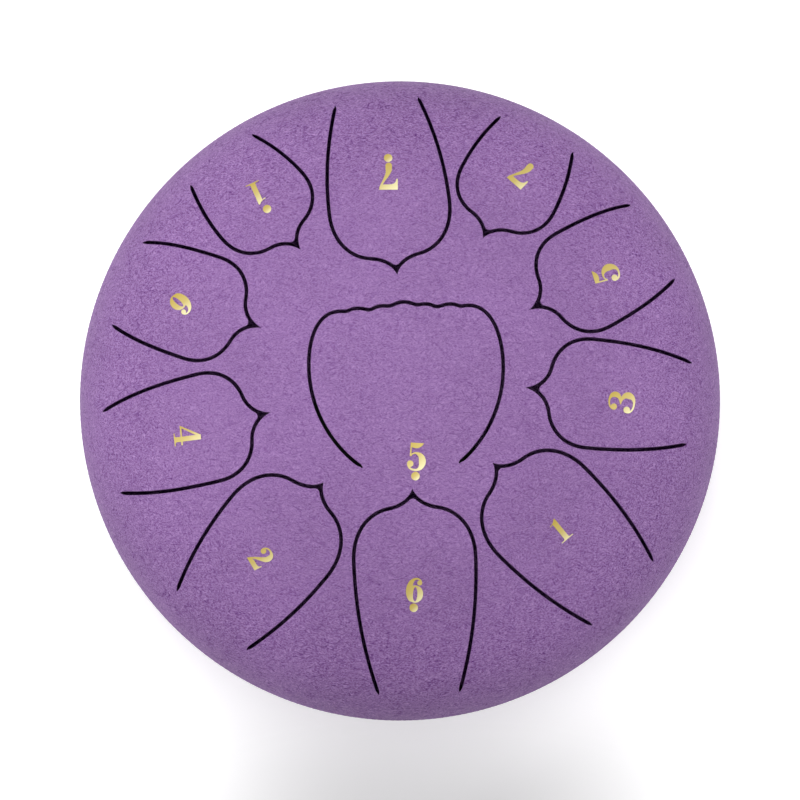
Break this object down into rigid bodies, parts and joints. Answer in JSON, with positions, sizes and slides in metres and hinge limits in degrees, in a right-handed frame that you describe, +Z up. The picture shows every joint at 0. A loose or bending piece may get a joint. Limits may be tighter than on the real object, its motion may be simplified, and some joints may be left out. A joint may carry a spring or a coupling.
{
  "type": "steel tongue drum",
  "caption": "Round steel tongue drum: two welded dished shells, tongues cut in petal shapes round a centre tongue, foil numbers, a sound hole below and rubber feet.",
  "frame": {"origin": "on the floor under the middle of the drum", "axes": "+Z up along the drum's axis, +Y from the low 6 tongue to the low 7 tongue, +X to the right of a player who sits on the low 6 side"},
  "size_m": [0.2556, 0.2556, 0.138],
  "materials": {
    "powder_coat": "matt wrinkle powder coat",
    "gold_foil": "metallic gold foil",
    "adhesive_foam": "foam adhesive disc",
    "foot_rubber": "matt rubber"
  },
  "bodies": {
    "drum": {"top_shell": "powder_coat", "bottom_shell": "powder_coat", "seam_weld": "powder_coat", "foot_pad_1": "adhesive_foam", "foot_pad_2": "adhesive_foam", "foot_pad_3": "adhesive_foam", "foot_1": "foot_rubber", "foot_2": "foot_rubber", "foot_3": "foot_rubber"},
    "note_low_5": {"tongue_low_5": "powder_coat", "number_low_5": "gold_foil"},
    "note_low_6": {"tongue_low_6": "powder_coat", "number_low_6": "gold_foil"},
    "note_low_7": {"tongue_low_7": "powder_coat", "number_low_7": "gold_foil"},
    "note_1": {"tongue_1": "powder_coat", "number_1": "gold_foil"},
    "note_2": {"tongue_2": "powder_coat", "number_2": "gold_foil"},
    "note_3": {"tongue_3": "powder_coat", "number_3": "gold_foil"},
    "note_4": {"tongue_4": "powder_coat", "number_4": "gold_foil"},
    "note_5": {"tongue_5": "powder_coat", "number_5": "gold_foil"},
    "note_6": {"tongue_6": "powder_coat", "number_6": "gold_foil"},
    "note_7": {"tongue_7": "powder_coat", "number_7": "gold_foil"},
    "note_high_1": {"tongue_high_1": "powder_coat", "number_high_1": "gold_foil"}
  },
  "joints": [
    {"name": "flex_low_5", "type": "hinge", "parent": "drum", "child": "note_low_5", "pos_m": [0.00433, -0.03243, 0.13408], "axis": [0.9989, 0.0471, 0], "range_deg": [-0.5, 0.5], "stiffness_Nm_per_rad": 243},
    {"name": "flex_low_6", "type": "hinge", "parent": "drum", "child": "note_low_6", "pos_m": [0.00753, -0.11642, 0.09195], "axis": [0.9994, 0.0349, 0], "range_deg": [-0.5, 0.5], "stiffness_Nm_per_rad": 153},
    {"name": "flex_low_7", "type": "hinge", "parent": "drum", "child": "note_low_7", "pos_m": [-0.00915, 0.1163, 0.09195], "axis": [-0.9936, -0.1132, 0], "range_deg": [-0.5, 0.5], "stiffness_Nm_per_rad": 171},
    {"name": "flex_1", "type": "hinge", "parent": "drum", "child": "note_1", "pos_m": [0.08737, -0.0773, 0.09195], "axis": [0.6947, 0.7193, 0], "range_deg": [-0.5, 0.5], "stiffness_Nm_per_rad": 175},
    {"name": "flex_2", "type": "hinge", "parent": "drum", "child": "note_2", "pos_m": [-0.07376, -0.0879, 0.0943], "axis": [0.766, -0.6428, 0], "range_deg": [-0.5, 0.5], "stiffness_Nm_per_rad": 185},
    {"name": "flex_3", "type": "hinge", "parent": "drum", "child": "note_3", "pos_m": [0.11344, -0.00297, 0.09572], "axis": [0.0698, 0.9976, 0], "range_deg": [-0.5, 0.5], "stiffness_Nm_per_rad": 177},
    {"name": "flex_4", "type": "hinge", "parent": "drum", "child": "note_4", "pos_m": [-0.11327, -0.02202, 0.09355], "axis": [0.2164, -0.9763, 0], "range_deg": [-0.5, 0.5], "stiffness_Nm_per_rad": 179},
    {"name": "flex_5", "type": "hinge", "parent": "drum", "child": "note_5", "pos_m": [0.09947, 0.06096, 0.09195], "axis": [-0.5075, 0.8616, 0], "range_deg": [-0.5, 0.5], "stiffness_Nm_per_rad": 205},
    {"name": "flex_6", "type": "hinge", "parent": "drum", "child": "note_6", "pos_m": [-0.10719, 0.0444, 0.09277], "axis": [-0.342, -0.9397, 0], "range_deg": [-0.5, 0.5], "stiffness_Nm_per_rad": 210},
    {"name": "flex_7", "type": "hinge", "parent": "drum", "child": "note_7", "pos_m": [0.05387, 0.10348, 0.09195], "axis": [-0.8949, 0.4462, 0], "range_deg": [-0.5, 0.5], "stiffness_Nm_per_rad": 223},
    {"name": "flex_high_1", "type": "hinge", "parent": "drum", "child": "note_high_1", "pos_m": [-0.07044, 0.09348, 0.09144], "axis": [-0.766, -0.6428, 0], "range_deg": [-0.5, 0.5], "stiffness_Nm_per_rad": 223}
  ]
}
